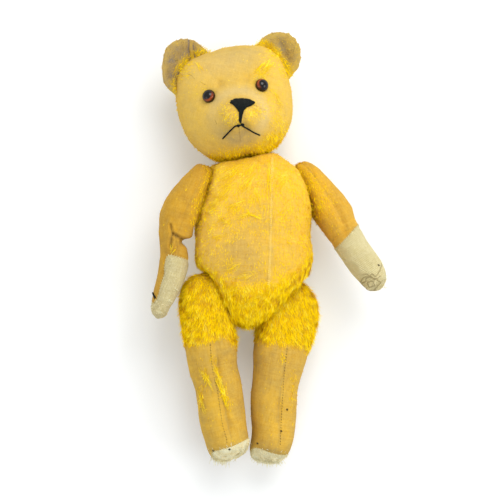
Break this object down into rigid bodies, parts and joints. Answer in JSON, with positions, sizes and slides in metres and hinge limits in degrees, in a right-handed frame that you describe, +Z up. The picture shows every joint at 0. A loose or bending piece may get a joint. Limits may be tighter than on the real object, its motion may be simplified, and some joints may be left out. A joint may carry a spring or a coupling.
{
  "type": "teddy bear",
  "caption": "Threadbare mohair teddy bear with a stitched nose, glass eyes, cupped ears and worn cloth paw and foot pads. Its head, arms and legs turn on friction disc joints.",
  "frame": {"origin": "middle of the bear's outline on the table, at its lowest point as it lies on its back", "axes": "+Z up from the table and out of the bear's front, +Y towards its head, +X towards its left side"},
  "size_m": [0.2132, 0.3993, 0.1172],
  "materials": {
    "mohair_cloth": "matt worn woven cloth with what is left of its golden mohair pile",
    "dirty_cloth": "matt dirty woven cloth",
    "pad_cloth": "matt cream twill, grubby and frayed",
    "wood_wool": "matt packed wood wool",
    "hardboard": "matt pressed board",
    "steel_wire": "dull steel",
    "amber_glass": "glossy amber glass with a black pupil",
    "black_thread": "matt black cotton thread"
  },
  "bodies": {
    "torso": {"left_arm_pin": "steel_wire", "left_arm_torso_disc": "hardboard", "left_arm_torso_washer": "steel_wire", "left_leg_pin": "steel_wire", "left_leg_torso_disc": "hardboard", "left_leg_torso_washer": "steel_wire", "neck_pin": "steel_wire", "neck_torso_disc": "hardboard", "neck_torso_washer": "steel_wire", "right_arm_pin": "steel_wire", "right_arm_torso_disc": "hardboard", "right_arm_torso_washer": "steel_wire", "right_leg_pin": "steel_wire", "right_leg_torso_disc": "hardboard", "right_leg_torso_washer": "steel_wire", "torso_left_panel": "mohair_cloth", "torso_right_panel": "mohair_cloth", "torso_stuffing": "wood_wool"},
    "head": {"ear_left": "dirty_cloth", "ear_right": "dirty_cloth", "eye_left": "amber_glass", "eye_right": "amber_glass", "eye_shank_left": "steel_wire", "eye_shank_right": "steel_wire", "head_gusset": "mohair_cloth", "head_left_panel": "mohair_cloth", "head_right_panel": "mohair_cloth", "head_stuffing": "wood_wool", "lip_stitch": "black_thread", "mouth_stitches": "black_thread", "neck_limb_disc": "hardboard", "neck_limb_washer": "steel_wire", "nose_stitches": "black_thread"},
    "right_arm": {"right_arm_inner_panel": "mohair_cloth", "right_arm_limb_disc": "hardboard", "right_arm_limb_washer": "steel_wire", "right_arm_outer_panel": "mohair_cloth", "right_arm_paw_pad": "pad_cloth", "right_arm_stuffing": "wood_wool"},
    "left_arm": {"left_arm_inner_panel": "mohair_cloth", "left_arm_limb_disc": "hardboard", "left_arm_limb_washer": "steel_wire", "left_arm_outer_panel": "mohair_cloth", "left_arm_paw_pad": "pad_cloth", "left_arm_stuffing": "wood_wool"},
    "right_leg": {"right_leg_foot_pad": "pad_cloth", "right_leg_inner_panel": "mohair_cloth", "right_leg_limb_disc": "hardboard", "right_leg_limb_washer": "steel_wire", "right_leg_outer_panel": "mohair_cloth", "right_leg_stuffing": "wood_wool"},
    "left_leg": {"left_leg_foot_pad": "pad_cloth", "left_leg_inner_panel": "mohair_cloth", "left_leg_limb_disc": "hardboard", "left_leg_limb_washer": "steel_wire", "left_leg_outer_panel": "mohair_cloth", "left_leg_stuffing": "wood_wool"}
  },
  "joints": [
    {"name": "neck_turn", "type": "hinge", "parent": "torso", "child": "head", "pos_m": [-0.01923, 0.08499, 0.04704], "axis": [-0.2181, 0.9759, 0], "continuous": true},
    {"name": "right_shoulder", "type": "hinge", "parent": "torso", "child": "right_arm", "pos_m": [-0.05643, 0.05799, 0.05504], "axis": [-0.9228, 0.309, 0.2301], "range_deg": [-105, 110]},
    {"name": "left_shoulder", "type": "hinge", "parent": "torso", "child": "left_arm", "pos_m": [0.03047, 0.05799, 0.04004], "axis": [-0.9135, -0.3371, 0.2278], "range_deg": [-160, 115]},
    {"name": "right_hip", "type": "hinge", "parent": "torso", "child": "right_leg", "pos_m": [-0.03993, -0.03991, 0.04904], "axis": [-0.9415, -0.2419, 0.2347], "range_deg": [-100, 90]},
    {"name": "left_hip", "type": "hinge", "parent": "torso", "child": "left_leg", "pos_m": [-0.00203, -0.04541, 0.04104], "axis": [-0.9415, 0.2419, 0.2347], "range_deg": [-105, 105]}
  ]
}
